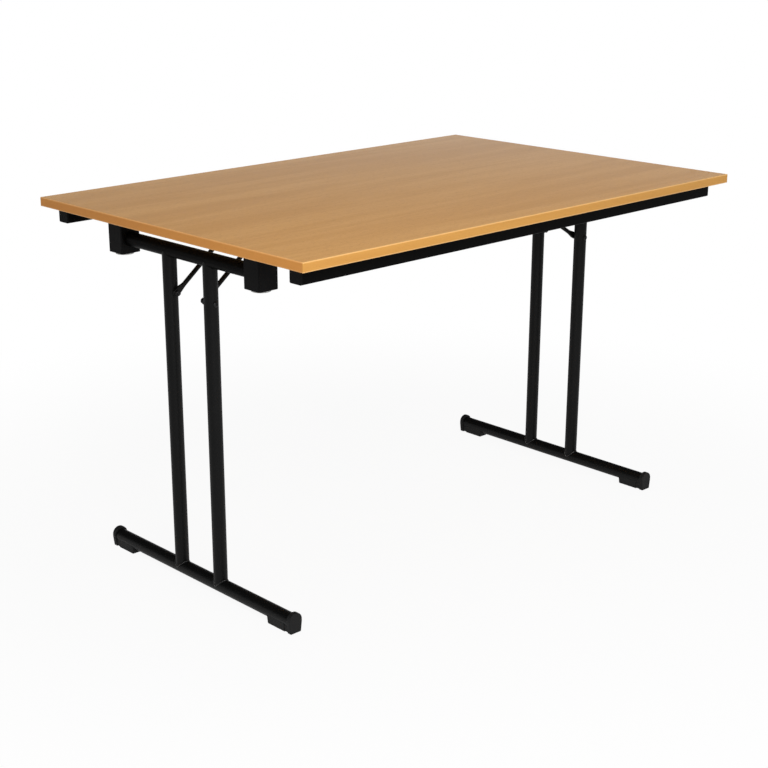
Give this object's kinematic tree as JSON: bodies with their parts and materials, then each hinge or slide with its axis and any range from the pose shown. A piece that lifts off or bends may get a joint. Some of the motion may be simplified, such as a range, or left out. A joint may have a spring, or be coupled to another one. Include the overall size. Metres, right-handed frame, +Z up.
{
  "type": "folding table",
  "caption": "Folding table with a wood-grain top on black rails and black T-shaped steel leg frames that fold under it.",
  "frame": {"origin": "centre of the footprint, on the floor", "axes": "+X along the table's length, +Y across its width to the rear, +Z up"},
  "size_m": [1.2, 0.8, 0.736],
  "materials": {
    "board_veneer": "satin lacquered beech grain",
    "edge_band": "satin beech edge band",
    "black_steel": "satin black powder coat",
    "black_plastic": "fine textured moulding",
    "grey_plastic": "fine textured moulding",
    "pad_rubber": "soft matt pad",
    "zinc_steel": "bright zinc plating",
    "blackened_steel": "blackened fasteners"
  },
  "bodies": {
    "root": {"table_top": "board_veneer", "edge_band_front": "edge_band", "edge_band_rear": "edge_band", "edge_band_left": "edge_band", "edge_band_right": "edge_band", "rail_front": "black_steel", "rail_cap_front_left": "black_plastic", "rail_cap_front_right": "black_plastic", "rail_screw_front_left": "zinc_steel", "rail_screw_front_right": "zinc_steel", "rail_rear": "black_steel", "rail_cap_rear_left": "black_plastic", "rail_cap_rear_right": "black_plastic", "rail_screw_rear_left": "zinc_steel", "rail_screw_rear_right": "zinc_steel", "pivot_block_left_front": "black_plastic", "block_screw_left_front": "zinc_steel", "stacking_pad_left_front": "pad_rubber", "pivot_block_left_rear": "black_plastic", "block_screw_left_rear": "zinc_steel", "stacking_pad_left_rear": "pad_rubber", "pivot_block_right_front": "black_plastic", "block_screw_right_front": "zinc_steel", "stacking_pad_right_front": "pad_rubber", "pivot_block_right_rear": "black_plastic", "block_screw_right_rear": "zinc_steel", "stacking_pad_right_rear": "pad_rubber", "left_guide": "black_steel", "left_guide_screw_outer": "zinc_steel", "left_guide_screw_inner": "zinc_steel", "right_guide": "black_steel", "right_guide_screw_outer": "zinc_steel", "right_guide_screw_inner": "zinc_steel"},
    "left_leg_frame": {"left_crossbar": "black_steel", "left_foot_tube": "black_steel", "left_column_front": "black_steel", "left_column_rear": "black_steel", "left_foot_cap_front": "grey_plastic", "left_foot_cap_rear": "grey_plastic", "left_pivot_bolt_front": "blackened_steel", "left_pivot_bolt_rear": "blackened_steel", "left_pivot_nut_front": "blackened_steel", "left_pivot_nut_rear": "blackened_steel"},
    "left_stay": {"left_strut_front": "black_steel", "left_strut_rear": "black_steel", "left_stay_rod": "blackened_steel"},
    "right_leg_frame": {"right_crossbar": "black_steel", "right_foot_tube": "black_steel", "right_column_front": "black_steel", "right_column_rear": "black_steel", "right_foot_cap_front": "grey_plastic", "right_foot_cap_rear": "grey_plastic", "right_pivot_bolt_front": "blackened_steel", "right_pivot_bolt_rear": "blackened_steel", "right_pivot_nut_front": "blackened_steel", "right_pivot_nut_rear": "blackened_steel"},
    "right_stay": {"right_strut_front": "black_steel", "right_strut_rear": "black_steel", "right_stay_rod": "blackened_steel"}
  },
  "joints": [
    {"name": "left_leg_fold", "type": "hinge", "parent": "root", "child": "left_leg_frame", "pos_m": [-0.5335, 0, 0.6745], "axis": [0, -1, 0], "range_deg": [0, 88.8]},
    {"name": "left_stay_swing", "type": "hinge", "parent": "left_leg_frame", "child": "left_stay", "pos_m": [-0.5335, 0, 0.593], "axis": [0, -1, 0], "range_deg": [-118, 0]},
    {"name": "right_leg_fold", "type": "hinge", "parent": "root", "child": "right_leg_frame", "pos_m": [0.5335, 0, 0.6745], "axis": [0, 1, 0], "range_deg": [0, 92.2]},
    {"name": "right_stay_swing", "type": "hinge", "parent": "right_leg_frame", "child": "right_stay", "pos_m": [0.5335, 0, 0.558], "axis": [0, 1, 0], "range_deg": [-118, 0]}
  ],
  "couplings": [
    {"joint": "left_stay_swing", "follows": "left_leg_fold", "ratio": -1.3282},
    {"joint": "right_stay_swing", "follows": "right_leg_fold", "ratio": -1.2795}
  ]
}
